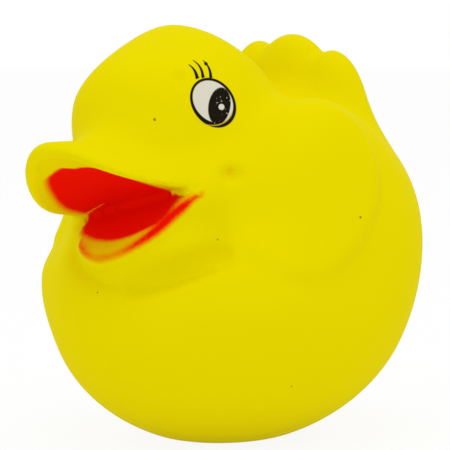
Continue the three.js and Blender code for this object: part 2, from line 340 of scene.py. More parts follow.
@dataclass(frozen=True)
class Bill:
    """The two halves of the open bill and the mouth between them, in the head's millimetres."""

    drop: float = -3.2
    upper_middle: float = 16.4
    upper_half: Pair = (17.4, 22.5)
    crown: float = 0.6
    crown_curve: float = 0.042
    upper_rim: float = 2.4
    palate_depth: float = 13.2
    palate_rise: float = 8.2
    palate_hinge: float = 10.4
    palate_length: float = 22.0
    palate_width: float = 16.6
    palate_most: float = 1.2
    palate_roll: float = 0.08
    lower_middle: float = 10.3
    lower_half: Pair = (17.2, 14.06)
    lower_thick: float = 1.2
    lower_rim: float = 1.1
    floor_depth: float = 12.3
    floor_hinge: float = 11.0
    floor_slope: float = 0.764
    floor_cup: float = 0.006
    upper_flow: float = 8.0
    lip_flow: float = 3.0
    lip_round: float = 1.2
    corner_reach: float = 11.0
    least_gap: float = 1.0

    def palate(self, spot: Spot) -> Row:
        """Height of the palate: level at the hinge, arched towards the front.

        Args:
            spot: Places in the head's axes.

        Returns:
            Heights above the head's middle.
        """
        side, forward, _ = spot
        opened = np.clip((forward - self.palate_hinge) / self.palate_length, 0.0, self.palate_most)
        arch = 1.0 - (side / self.palate_width) ** 2
        return self.drop - self.palate_depth + (self.palate_rise * arch + self.palate_roll * side) * opened

    def floor(self, spot: Spot) -> Row:
        """Height of the lower bill's floor: falling towards the front, cupped across."""
        fall = self.floor_slope * (spot[1] - self.floor_hinge)
        return self.drop - self.floor_depth - fall + self.floor_cup * spot[0] * spot[0]

    def upper_plan(self, spot: Spot) -> Row:
        """Distance to the upper half's outline seen from above."""
        return ellipsoid((spot[0], spot[1] - self.upper_middle), self.upper_half)

    def lower_plan(self, spot: Spot) -> Row:
        """Distance to the lower half's outline seen from above."""
        return ellipsoid((spot[0], spot[1] - self.lower_middle), self.lower_half)

    def opened(self, body: Row, skull: Row, spot: Spot) -> Row:
        """The bill grown out of head and chin, with the mouth opened and its lips rounded.

        Args:
            body: Distances to the duck without its bill.
            skull: Distances to the head ball.
            spot: Places in the head's axes.

        Returns:
            Distances to the whole outside.
        """
        side, forward, up = spot
        top = self.drop + self.crown - self.crown_curve * side * side
        roof = self.palate(spot)
        base = self.floor(spot)
        high = (top + roof) / 2.0
        low = base - self.lower_thick
        bow = np.hypot(1.0, 2.0 * self.crown_curve * side)
        pitch = math.hypot(1.0, self.floor_slope)
        upper_depth = (np.abs(up - high) - (top - roof) / 2.0) / bow
        lower_depth = (np.abs(up - low) - self.lower_thick) / pitch
        upper = plate(self.upper_plan(spot), upper_depth, self.upper_rim)
        lower = plate(self.lower_plan(spot), lower_depth, self.lower_rim)
        share = np.clip((up - low) / np.maximum(high - low, self.least_gap), 0.0, 1.0)
        middle = between((self.lower_middle, self.upper_middle), share)
        halves = [between(ends, share) for ends in zip(self.lower_half, self.upper_half)]
        cheeks = np.maximum(ellipsoid((side, forward - middle), halves), low - up)
        web = np.maximum(cheeks, np.maximum(up - high, forward - self.corner_reach))
        chinned = blend(body, lower, self.lip_flow)
        headed = blend(skull, upper, self.upper_flow)
        whole = np.minimum(np.minimum(chinned, headed), web)
        mouth = np.maximum((up - roof) / bow, (base - up) / pitch)
        return carve(whole, mouth, self.lip_round)


@dataclass(frozen=True)
class Mould:
    """The whole hollow moulding as one form, in millimetres."""

    axes: HeadAxes = HeadAxes()
    trunk: Trunk = Trunk()
    head: Head = Head()
    bill: Bill = Bill()
    fold: Fold = Fold((11.3, -40.1, 38.4), (26.2, -29.6, 43.6), 1.8, 3.0)
    throat: Egg = Egg((-33.8, -37.8, 48.5), (14.8, 14.8, 9.8))
    throat_flow: float = 5.0
    press: float = 1.4
    wall: float = 2.2
    base_wall: float = 2.8
    base_round: float = 1.6
    base_middle: float = BASE_MIDDLE
    hole_radius: float = 4.5
    hole_reach: float = 3.8
    recess_radius: float = 6.0
    recess_depth: float = 1.3

    def distance(self, places: Row, pressed: float, skin: Row) -> Row:
        """Signed distance to the moulding's material.

        Args:
            places: Rows of x, y and z in the mould's millimetres.
            pressed: How far the fold and the throat are pressed in, from 0 to 1.
            skin: Above 0 for places that know only the outer skin, below 0 for the inner one.

        Returns:
            Distances, negative inside the material.
        """
        x, y, z = places.T
        here = self.axes.to_head((x, y, z))
        plain = self.head.joined(self.trunk.distance((x, y, z)), here)
        lifted = self.press * (1.0 - pressed)
        plain = carve(plain, self.fold.distance((x, y, z)) + lifted, self.fold.flow)
        plain = carve(plain, self.throat.distance((x, y, z)) + lifted, self.throat_flow)
        outside = self.bill.opened(plain, self.head.skull(here), here)
        outside = carve(outside, z, self.base_round)
        keep = self.wall + 2.0 * self.bill.lower_thick
        mouth = np.maximum(here[2] - self.bill.palate(here), self.bill.floor(here) - here[2]) - keep
        air = np.maximum(np.maximum(plain + self.wall, -mouth), self.base_wall - z)
        outside = np.where(skin < 0.0, -FAR, outside)
        air = np.where(skin > 0.0, FAR, air)
        across = np.hypot(x, y - self.base_middle)
        hole = np.maximum(across - self.hole_radius, z - self.hole_reach)
        recess = np.maximum(across - self.recess_radius, z - self.recess_depth)
        return np.maximum(np.maximum(outside, -air), np.maximum(-hole, -recess))


@dataclass(frozen=True)
class MouthSpray:
    """Where the mouth was sprayed red, in the head's millimetres."""

    bill: Bill = Bill()
    rim: Pair = (3.0, 4.1)
    rim_span: Pair = (20.0, 29.0)
    near_rim: float = 4.0
    near_sides: Pair = (2.0, 7.0)
    near_span: Pair = (21.0, 30.0)
    front: Pair = (30.9, 32.8)
    front_sides: Pair = (-1.5, 1.0)
    front_steep: float = 2.0
    corner_line: float = 3.6
    bare_forward: float = 16.1
    bare_sides: Pair = (-16.5, -8.0)
    bare_half: float = 0.45
    floor_front: float = 21.8
    floor_middle: float = 2.0
    floor_curve: float = 0.012
    floor_steep: float = 1.6
    floor_rim: float = -0.3
    floor_side: float = 15.0
    floor_corner: float = 14.6
    corner_fade: float = 0.5
    reach: float = 1.1
    steep: float = 3.0

    def inside(self, spot: Spot) -> Row:
        """How far places lie inside the sprayed red.

        Args:
            spot: Places in the head's axes.

        Returns:
            Millimetres inside the spray's edge, negative outside it.
        """
        roof = spot[2] - self.bill.palate(spot)
        base = spot[2] - self.bill.floor(spot)
        upper = np.abs(roof) < np.abs(base)
        inside = np.where(upper, self._on_palate(spot), self._on_floor(spot))
        below_roof = self.steep * (self.reach - roof)
        above_floor = self.steep * (self.reach + base)
        return np.minimum(inside, np.minimum(below_roof, above_floor))

    def _on_palate(self, spot: Spot) -> Row:
        """How far places lie inside the red of the palate, which misses a sliver and the near corner.

        Args:
            spot: Places in the head's axes.

        Returns:
            Millimetres inside the red.
        """
        side, forward, _ = spot
        rim = between(self.rim, ramp(forward, *self.rim_span))
        rim = rim + self.near_rim * ramp(side, *self.near_sides) * (1.0 - ramp(forward, *self.near_span))
        front = between(self.front, ramp(-side, *self.front_sides))
        red = np.minimum(-self.bill.upper_plan(spot) - rim, self.front_steep * (front - forward))
        along = (side - self.bare_sides[0]) / (self.bare_sides[1] - self.bare_sides[0])
        width = self.bare_half * (1.0 - np.clip(along, 0.0, 1.0))
        sliver = np.where(along < 1.0, self.steep * (np.abs(forward - self.bare_forward) - width), self.steep)
        corner = self.steep * (forward - self.corner_line - side)
        return np.minimum(red, np.minimum(sliver, corner))

    def _on_floor(self, spot: Spot) -> Row:
        """How far places lie inside the red of the floor, which fades out at the near corner.

        Args:
            spot: Places in the head's axes.

        Returns:
            Millimetres inside the red.
        """
        side, forward, _ = spot
        front = self.floor_front - self.floor_curve * (side - self.floor_middle) ** 2 - forward
        red = np.minimum(self.floor_steep * front, -self.bill.lower_plan(spot) - self.floor_rim)
        far = self.steep * (side + self.floor_side)
        near = self.corner_fade * (self.floor_corner - side)
        return np.minimum(red, np.minimum(far, near))


@dataclass(frozen=True)
class LipStroke:
    """The painted stroke under the lower lip, in the head's millimetres."""

    bill: Bill = Bill()
    depth: float = 1.05
    half: float = 0.6
    wider: float = 0.5
    wider_sides: Pair = (6.0, 14.0)
    wider_dip: float = 0.5
    end_dip: float = 1.0
    end_dip_sides: Pair = (18.0, 20.3)
    end_taper: float = 0.9
    end_taper_sides: Pair = (16.0, 20.0)
    far_rise: float = 0.35
    far_rise_sides: Pair = (3.0, 9.0)
    far_thin: float = 0.25
    far_thin_sides: Pair = (2.0, 8.0)
    soft: float = 0.6
    plan_inner: float = 3.0
    plan_outer: Pair = (1.0, 5.0)
    plan_sides: Pair = (15.0, 19.0)
    sides: Pair = (-13.0, 19.5)
    start: float = 13.3
    orange_side: float = -1.0
    orange_sides: Pair = (3.0, 9.0)

    def inside(self, spot: Spot) -> Row:
        """How far places lie inside the stroke.

        Args:
            spot: Places in the head's axes.

        Returns:
            Millimetres inside the stroke's edge, negative outside it.
        """
        side, forward, up = spot
        depth = self.bill.floor(spot) - up
        wider = self.wider * ramp(side, *self.wider_sides)
        middle = self.depth + self.wider_dip * wider + self.end_dip * ramp(side, *self.end_dip_sides)
        middle = middle - self.far_rise * ramp(-side, *self.far_rise_sides)
        half = self.half + wider - self.far_thin * ramp(-side, *self.far_thin_sides)
        half = half - self.end_taper * ramp(side, *self.end_taper_sides)
        across = np.minimum(half - middle + depth, self.soft * (half + middle - depth))
        plan = self.bill.lower_plan(spot)
        outer = between(self.plan_outer, ramp(np.abs(side), *self.plan_sides))
        at_lip = np.minimum(plan + self.plan_inner, outer - plan)
        ends = np.minimum(forward - self.start, np.minimum(self.sides[1] - side, side - self.sides[0]))
        return np.minimum(across, np.minimum(at_lip, ends))

    def heat(self, spot: Spot) -> Row:
        """How red the stroke is: orange in the middle, red towards its ends."""
        return ramp(np.abs(spot[0] - self.orange_side), *self.orange_sides)


class Bench:
    """Places shader nodes in a tree and links them."""

    def __init__(self, tree: bpy.types.NodeTree) -> None:
        """Takes a tree over and empties it."""
        self.tree = tree
        self.tree.nodes.clear()

    def feed(self, socket: Socket, value: Feed) -> None:
        """Links a socket to an input, or sets the input's own value.

        Args:
            socket: The input.
            value: Another socket, or a plain value.
        """
        if isinstance(value, bpy.types.NodeSocket):
            self.tree.links.new(value, socket)
        else:
            socket.default_value = value

    def add(self, kind: str, values: Optional[Feeds] = None, **settings: object) -> bpy.types.Node:
        """Places a node and feeds it.

        Args:
            kind: The node's type.
            values: What goes into its inputs, by their names or numbers.
            **settings: Properties that are set on it.

        Returns:
            The new node.
        """
        node = self.tree.nodes.new(kind)
        for name, value in settings.items():
            setattr(node, name, value)
        for label, value in (values or {}).items():
            self.feed(node.inputs[label], value)
        return node

    def math(self, operation: str, *values: Feed, clamp: bool = False) -> Socket:
        """The result of a sum of plain numbers, kept between 0 and 1 where it is clamped."""
        settings = {"operation": operation, "use_clamp": clamp}
        return self.add("ShaderNodeMath", dict(enumerate(values)), **settings).outputs[0]

    def vector(self, operation: str, *values: Feed) -> bpy.types.Node:
        """The node of a sum of vectors, whose outputs hold the result."""
        return self.add("ShaderNodeVectorMath", dict(enumerate(values)), operation=operation)

    def rise(self, value: Feed, start: Feed, end: Feed) -> Socket:
        """A smooth rise from 0 at start to 1 at end."""
        values = {"Value": value, "From Min": start, "From Max": end}
        return self.add("ShaderNodeMapRange", values, interpolation_type="SMOOTHSTEP").outputs["Result"]

    def edged(self, inside: Feed, edge: Feed) -> Socket:
        """A mask that rises across a shape's outline, over an edge's width on both sides of it."""
        return self.rise(inside, self.math("MULTIPLY", edge, -1.0), edge)

    def mix(self, share: Feed, under: Feed, over: Feed) -> Socket:
        """One colour laid over another by a share."""
        return self.add("ShaderNodeMix", {"Factor": share, 6: under, 7: over}, data_type="RGBA").outputs[2]

    def noise(self, place: Feed, scale: float, detail: float) -> Socket:
        """Soft noise over the surface, about one half."""
        values = {"Vector": place, "Scale": scale, "Detail": detail}
        return self.add("ShaderNodeTexNoise", values).outputs["Fac"]

    def millimetres(self, place: Socket, origin: Triple, tilt: float = 0.0) -> Socket:
        """Places in millimetres from an origin, on axes tilted about the frame's second axis."""
        at = {"Location": origin, "Rotation": (0.0, tilt, 0.0), "Scale": (MILLIMETRE,) * 3}
        return self.add("ShaderNodeMapping", {"Vector": place, **at}, vector_type="TEXTURE").outputs["Vector"]

    def stamp(self, tree: bpy.types.NodeTree, values: Feeds) -> Socket:
        """The mask of a node group with its inputs fed."""
        return self.add("ShaderNodeGroup", values, node_tree=tree).outputs["Mask"]

    def seen(self) -> Socket:
        """1 where the camera looks, straight, by a reflection or through glass, and 0 for light.

        Returns:
            The switch.
        """
        path = self.add("ShaderNodeLightPath").outputs
        seen = self.math("MAXIMUM", path["Is Camera Ray"], path["Is Glossy Ray"])
        return self.math("MAXIMUM", seen, path["Is Transmission Ray"])

    def finish(self, shader: bpy.types.Node, kind: str = "ShaderNodeOutputMaterial") -> None:
        """Links a shader to the tree's output."""
        self.add(kind, {"Surface": shader.outputs[0]})


def new_material(name: str) -> tuple[bpy.types.Material, Bench]:
    """An empty material.

    Args:
        name: Its name.

    Returns:
        The material and its bench.
    """
    made = bpy.data.materials.new(name)
    made.use_nodes = True
    return made, Bench(made.node_tree)


def opaque(colour: Triple) -> tuple[float, float, float, float]:
    """A colour with full cover."""
    return (*colour, 1.0)


class PrintTools:
    """Node groups for shapes of print and for marks on the surface, built once."""

    lash_taper = 0.75
    speck_noise = (2.5, 2.0)
    speck_edge = (1.3, 0.6)

    def __init__(self) -> None:
        """Builds the groups."""
        self.oval = self._oval()
        self.lash = self._lash()
        self.speck = self._speck()

    @staticmethod
    def _group(name: str, floats: str, vectors: str = "") -> tuple[Bench, dict[str, Socket], Socket]:
        """An empty node group that gives a mask.

        Args:
            name: The group's name.
            floats: Names of its plain inputs, with commas between them.
            vectors: Names of its vector inputs.

        Returns:
            The bench of the group, its inputs by name, and the mask's socket.
        """
        tree = bpy.data.node_groups.new(name, "ShaderNodeTree")
        for labels, kind in ((vectors, "NodeSocketVector"), (floats, "NodeSocketFloat")):
            for label in filter(None, labels.split(", ")):
                tree.interface.new_socket(label, in_out="INPUT", socket_type=kind)
        tree.interface.new_socket("Mask", in_out="OUTPUT", socket_type="NodeSocketFloat")
        bench = Bench(tree)
        given = {socket.name: socket for socket in bench.add("NodeGroupInput").outputs}
        return bench, given, bench.add("NodeGroupOutput").inputs["Mask"]

    @staticmethod
    def _turned(bench: Bench, given: dict[str, Socket]) -> tuple[Socket, Socket]:
        """Coordinates from a shape's own middle, along its own axes.

        Args:
            bench: The bench of the group.
            given: The group's inputs.

        Returns:
            The place along and across the shape.
        """
        du = bench.math("SUBTRACT", given["Across"], given["Centre Across"])
        dv = bench.math("SUBTRACT", given["Up"], given["Centre Up"])
        cosine = bench.math("COSINE", given["Turn"])
        sine = bench.math("SINE", given["Turn"])
        along = bench.math("MULTIPLY_ADD", du, cosine, bench.math("MULTIPLY", dv, sine))
        across = bench.math("SUBTRACT", bench.math("MULTIPLY", dv, cosine), bench.math("MULTIPLY", du, sine))
        return along, across

    def _oval(self) -> bpy.types.NodeTree:
        """The group for a printed oval.

        Returns:
            The finished group.
        """
        floats = "Across, Up, Centre Across, Centre Up, Turn, Half Width, Half Height, Edge"
        bench, given, mask = self._group("printed oval", floats)
        along, across = self._turned(bench, given)
        a = bench.math("DIVIDE", along, given["Half Width"])
        b = bench.math("DIVIDE", across, given["Half Height"])
        reach = bench.math("SQRT", bench.math("MULTIPLY_ADD", a, a, bench.math("MULTIPLY", b, b)))
        least = bench.math("MINIMUM", given["Half Width"], given["Half Height"])
        inside = bench.math("MULTIPLY", bench.math("SUBTRACT", 1.0, reach), least)
        bench.feed(mask, bench.edged(inside, given["Edge"]))
        return bench.tree

    def _lash(self) -> bpy.types.NodeTree:
        """The group for a printed lash: a bent stroke that tapers to its tip.

        Returns:
            The finished group.
        """
        floats = "Across, Up, Centre Across, Centre Up, Turn, Length, Half Width, Bend, Edge"
        bench, given, mask = self._group("printed lash", floats)
        along, across = self._turned(bench, given)
        share = bench.math("DIVIDE", along, given["Length"], clamp=True)
        arc = bench.math("MULTIPLY", share, bench.math("SUBTRACT", 1.0, share))
        bowed = bench.math("MULTIPLY_ADD", arc, bench.math("MULTIPLY", given["Bend"], -4.0), across)
        thinner = bench.math("MULTIPLY_ADD", share, -self.lash_taper, 1.0)
        taper = bench.math("MULTIPLY", given["Half Width"], thinner)
        inside = bench.math("SUBTRACT", taper, bench.math("ABSOLUTE", bowed))
        from_base = bench.math("ADD", along, given["Half Width"])
        from_tip = bench.math("SUBTRACT", given["Length"], along)
        inside = bench.math("MINIMUM", inside, bench.math("MINIMUM", from_base, from_tip))
        bench.feed(mask, bench.edged(inside, given["Edge"]))
        return bench.tree

    def _speck(self) -> bpy.types.NodeTree:
        """The group for a mark about a place on the surface, for specks of dirt and for painted shade.

        Returns:
            The finished group.
        """
        bench, given, mask = self._group("speck of dirt and painted shade", "Radius, Ragged", "Place, Centre")
        away = bench.vector("DISTANCE", given["Place"], given["Centre"]).outputs["Value"]
        rough = bench.math("SUBTRACT", bench.noise(given["Place"], *self.speck_noise), 0.5)
        edge = bench.math("MULTIPLY_ADD", rough, given["Ragged"], away)
        outer, inner = (bench.math("MULTIPLY", given["Radius"], share) for share in self.speck_edge)
        bench.feed(mask, bench.rise(edge, outer, inner))
        return bench.tree


class PrintedForm:
    """A form of the eye's print, whose fields are the inputs of its node group."""

    def inputs(self) -> dict[str, float]:
        """The fields under the names of the group's inputs."""
        return {name.replace("_", " ").title(): value for name, value in asdict(self).items()}


@dataclass(frozen=True)
class OvalShape(PrintedForm):
    """One printed oval of the eye, in millimetres across and up from the eye's middle."""

    centre_across: float
    centre_up: float
    half_width: float
    half_height: float
    turn: float
    edge: float = 0.09


@dataclass(frozen=True)
class LashShape(PrintedForm):
    """One printed lash, from its base to its tip."""

    centre_across: float
    centre_up: float
    turn: float
    length: float
    half_width: float
    bend: float
    edge: float = 0.09


@dataclass(frozen=True)
class EyePrint:
    """The pad print of one eye, in the head's axes; the other side carries its mirror image.

    It shows outside the least reach from the head's middle, so not on the skin inside.
    """

    middle: Triple = (20.4, 7.7, 0.9)
    across: Triple = (0.689, -0.707, -0.159)
    up: Triple = (0.139, -0.086, 0.9865)
    least_reach: float = 20.6
    rim: OvalShape = OvalShape(0.04, -0.14, 4.4, 5.46, 0.57)
    white: OvalShape = OvalShape(0.0, 0.08, 3.76, 4.68, 0.66)
    pupil: OvalShape = OvalShape(1.32, -0.78, 2.25, 3.92, -0.17)
    glint: OvalShape = OvalShape(1.74, -1.0, 0.6, 0.62, 0.0)
    slip: OvalShape = OvalShape(-0.84, 0.24, 4.72, 5.55, 0.74)
    slip_inner: OvalShape = OvalShape(-1.01, 0.41, 4.72, 5.55, 0.74)
    slip_span: Pair = (-1.9, -2.6)
    blot: OvalShape = OvalShape(-1.48, 8.06, 0.36, 0.44, 0.5)
    lashes: tuple[LashShape, ...] = (
        LashShape(-3.3, 5.1, 2.135, 3.2, 0.38, -0.33),
        LashShape(-2.1, 5.3, 2.105, 4.05, 0.34, -0.5),
        LashShape(-0.5, 5.3, 1.995, 3.85, 0.34, -0.42),
    )
    black: Triple = (0.012, 0.010, 0.006)
    pale: Triple = (0.70, 0.67, 0.55)
    line: Triple = (0.62, 0.42, 0.03)
    wear_noise: Pair = (1.9, 1.0)
    wear: Pair = (0.66, 0.74)
    wear_strength: float = 0.45


@dataclass(frozen=True)
class Speck:
    """A mark on the skin, dirt for most, painted shade for one: its place in the mould's millimetres, radius,
    raggedness, strength and colour.
    """

    place: Triple
    radius: float
    ragged: float = 0.3
    strength: float = 0.7
    colour: Triple = (0.05, 0.035, 0.005)


@dataclass(frozen=True)
class VinylFinish:
    """Soft yellow vinyl with sprayed mouth, printed eyes, a few specks of dirt and a patch of painted shade
    in the left cheek's dimple.
    """

    yellow: Triple = (0.81, 0.69, 0.0)
    red: Triple = (0.86, 0.006, 0.0005)
    orange: Triple = (0.80, 0.12, 0.0)
    sheen: Triple = (1.0, 0.9, 0.0)
    roughness: float = 0.55
    specular: float = 0.004
    spray_soft: float = 1.1
    spray_grain: float = 0.7
    spray_noise: Pair = (1500.0, 3.0)
    stroke_grain: float = 0.4
    stroke_edge: Pair = (-0.7, 0.5)
    stroke_cover: float = 0.75
    eye: EyePrint = EyePrint()
    specks: tuple[Speck, ...] = (
        Speck((12.99, -35.04, 71.67), 0.3),
        Speck((39.51, -1.58, 51.15), 0.3),
        Speck((23.73, -27.62, 47.33), 0.22, 0.2, 0.5),
        Speck((24.29, -27.6, 45.33), 0.25, 0.2, 0.6),
        Speck((10.09, -38.39, 37.0), 0.22, 0.2, 0.5),
        Speck((2.04, -41.15, 35.67), 0.22, 0.2, 0.5),
        Speck((31.69, -13.94, 16.27), 0.25, 0.2, 0.5),
        # painted shade: a soft orange darkening laid into the left cheek's dimple, where shade falls
        Speck((23.66, -24.09, 61.24), 0.9, 0.8, 0.2, (0.8, 0.3, 0.0)),
        Speck((14.4, -29.62, 80.75), 1.4, 2.0, 0.06, (0.4, 0.28, 0.0)),
    )

    def material(self, tools: PrintTools, axes: HeadAxes) -> bpy.types.Material:
        """The finish as a material.

        Args:
            tools: The groups for print and marks.
            axes: The head's axes, which the print follows.

        Returns:
            The new material.
        """
        made, bench = new_material("soft yellow vinyl")
        place = bench.add("ShaderNodeTexCoord").outputs["Object"]
        head = bench.millimetres(place, axes.origin(), -axes.tilt)
        mould = bench.millimetres(place, tuple(s * MILLIMETRE for s in axes.shift))
        colour = self._sprayed(bench, place)
        colour = self._printed(bench, tools, head, colour)
        colour = self._specked(bench, tools, mould, colour)
        values = {
            "Base Color": colour,
            "Roughness": self.roughness,
            "Specular IOR Level": self.specular,
            "Specular Tint": opaque(self.sheen),
        }
        bench.finish(bench.add("ShaderNodeBsdfPrincipled", values))
        return made

    def _sprayed(self, bench: Bench, place: Socket) -> Socket:
        """Yellow vinyl with the sprayed mouth and the stroke under the lip.

        Args:
            bench: The material's bench.
            place: Place on the surface.

        Returns:
            The colour.
        """
        grain = bench.math("SUBTRACT", bench.noise(place, *self.spray_noise), 0.5)
        shift = bench.math("MULTIPLY", grain, self.spray_grain)
        mouth, lip, heat = (
            bench.add("ShaderNodeAttribute", attribute_name=trace.value).outputs["Fac"] for trace in Trace
        )
        mouth_share = bench.rise(bench.math("ADD", mouth, shift), -self.spray_soft, self.spray_soft)
        ragged = bench.math("ADD", lip, bench.math("MULTIPLY", shift, self.stroke_grain))
        lip_share = bench.rise(ragged, *self.stroke_edge)
        stroke = bench.mix(heat, opaque(self.orange), opaque(self.red))
        cover = bench.math("MULTIPLY_ADD", heat, 1.0 - self.stroke_cover, self.stroke_cover)
        colour = bench.mix(bench.math("MULTIPLY", lip_share, cover), opaque(self.yellow), stroke)
        return bench.mix(mouth_share, colour, opaque(self.red))

    def _printed(self, bench: Bench, tools: PrintTools, head: Socket, under: Socket) -> Socket:
        """Both eyes printed over a colour.

        Args:
            bench: The material's bench.
            tools: The groups for print.
            head: Place in the head's axes, with its forward turned to the back.
            under: Colour below the print.

        Returns:
            The colour.
        """
        eye = self.eye
        x, y, z = bench.add("ShaderNodeSeparateXYZ", {0: head}).outputs
        flipped = {0: bench.math("ABSOLUTE", x), 1: bench.math("MULTIPLY", y, -1.0), 2: z}
        folded = bench.add("ShaderNodeCombineXYZ", flipped).outputs[0]
        local = bench.vector("SUBTRACT", folded, eye.middle).outputs["Vector"]
        across = bench.vector("DOT_PRODUCT", local, eye.across).outputs["Value"]
        up = bench.vector("DOT_PRODUCT", local, eye.up).outputs["Value"]
        reach = bench.vector("LENGTH", folded).outputs["Value"]
        outside = bench.math("GREATER_THAN", reach, eye.least_reach)
        black = opaque(eye.black)
        pale = opaque(eye.pale)

        def shape(form: PrintedForm) -> Socket:
            """A printed form's mask on the outside of the head."""
            tree = tools.oval if isinstance(form, OvalShape) else tools.lash
            mask = bench.stamp(tree, {"Across": across, "Up": up, **form.inputs()})
            return bench.math("MULTIPLY", mask, outside)

        colour = bench.mix(shape(eye.rim), under, black)
        colour = bench.mix(shape(eye.white), colour, pale)
        pupil = shape(eye.pupil)
        colour = bench.mix(pupil, colour, black)
        flecks = bench.rise(bench.noise(head, *eye.wear_noise), *eye.wear)
        worn = bench.math("MULTIPLY", bench.math("MULTIPLY", flecks, pupil), eye.wear_strength)
        colour = bench.mix(worn, colour, pale)
        slipped = bench.math("SUBTRACT", shape(eye.slip), shape(eye.slip_inner), clamp=True)
        slipped = bench.math("MULTIPLY", slipped, bench.rise(up, *eye.slip_span))
        colour = bench.mix(slipped, colour, opaque(eye.line))
        colour = bench.mix(shape(eye.glint), colour, pale)
        for form in (*eye.lashes, eye.blot):
            colour = bench.mix(shape(form), colour, black)
        return colour

    def _specked(self, bench: Bench, tools: PrintTools, mould: Socket, under: Socket) -> Socket:
        """Specks of dirt, and a patch of painted shade in the left cheek's dimple, over a colour.

        Args:
            bench: The material's bench.
            tools: The groups for marks.
            mould: Place in the mould's millimetres.
            under: Colour below the dirt and the painted shade.

        Returns:
            The colour.
        """
        colour = under
        # the marks are specks of dirt, all but the one in the left cheek's dimple, which is painted shade
        for speck in self.specks:
            values = {"Place": mould, "Centre": speck.place, "Radius": speck.radius, "Ragged": speck.ragged}
            share = bench.math("MULTIPLY", bench.stamp(tools.speck, values), speck.strength)
            colour = bench.mix(share, colour, opaque(speck.colour))
        return colour


@dataclass(frozen=True)
class PlugFinish:
    """Plain off-white plastic of the squeaker."""

    colour: Triple = (0.88, 0.87, 0.81)
    roughness: float = 0.42

    def material(self) -> bpy.types.Material:
        """The finish as a material.

        Returns:
            The new material.
        """
        made, bench = new_material("off-white plastic")
        values = {"Base Color": opaque(self.colour), "Roughness": self.roughness}
        bench.finish(bench.add("ShaderNodeBsdfPrincipled", values))
        return made


def copy_of(node: Node, name: str) -> bpy.types.Object:
    """A merged copy of a moulded piece, with its own mesh.

    Args:
        node: The piece that is copied.
        name: The copy's name.

    Returns:
        The copy, active and alone selected.
    """
    bpy.ops.object.select_all(action="DESELECT")
    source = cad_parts[node.value]
    piece = bpy.data.objects.new(name, source.data.copy())
    bpy.context.scene.collection.objects.link(piece)
    piece.data.materials.clear()
    piece.select_set(True)
    bpy.context.view_layer.objects.active = piece
    bpy.ops.object.mode_set(mode="EDIT")
    bpy.ops.mesh.select_all(action="SELECT")
    bpy.ops.mesh.remove_doubles(threshold=MERGE_REACH)
    bpy.ops.object.mode_set(mode="OBJECT")
    return piece


def read_rows(mesh: bpy.types.Mesh, name: str) -> Row:
    """A vector of each of a mesh's points, in rows.

    Args:
        mesh: The mesh that is read.
        name: The vector's name.

    Returns:
        Rows of three numbers.
    """
    flat = np.empty(len(mesh.vertices) * 3)
    mesh.vertices.foreach_get(name, flat)
    return flat.reshape(-1, 3)


def move_points(mesh: bpy.types.Mesh, places: Row) -> None:
    """Moves a mesh's points to places in the frame."""
    mesh.vertices.foreach_set("co", places.ravel())
    mesh.update()


@dataclass(frozen=True)
class DrawPass:
    """One pass of drawing the skin down: its rounds, how far folds are pressed, and its new grain if any."""

    rounds: int
    pressed: float
    grain: float = 0.0


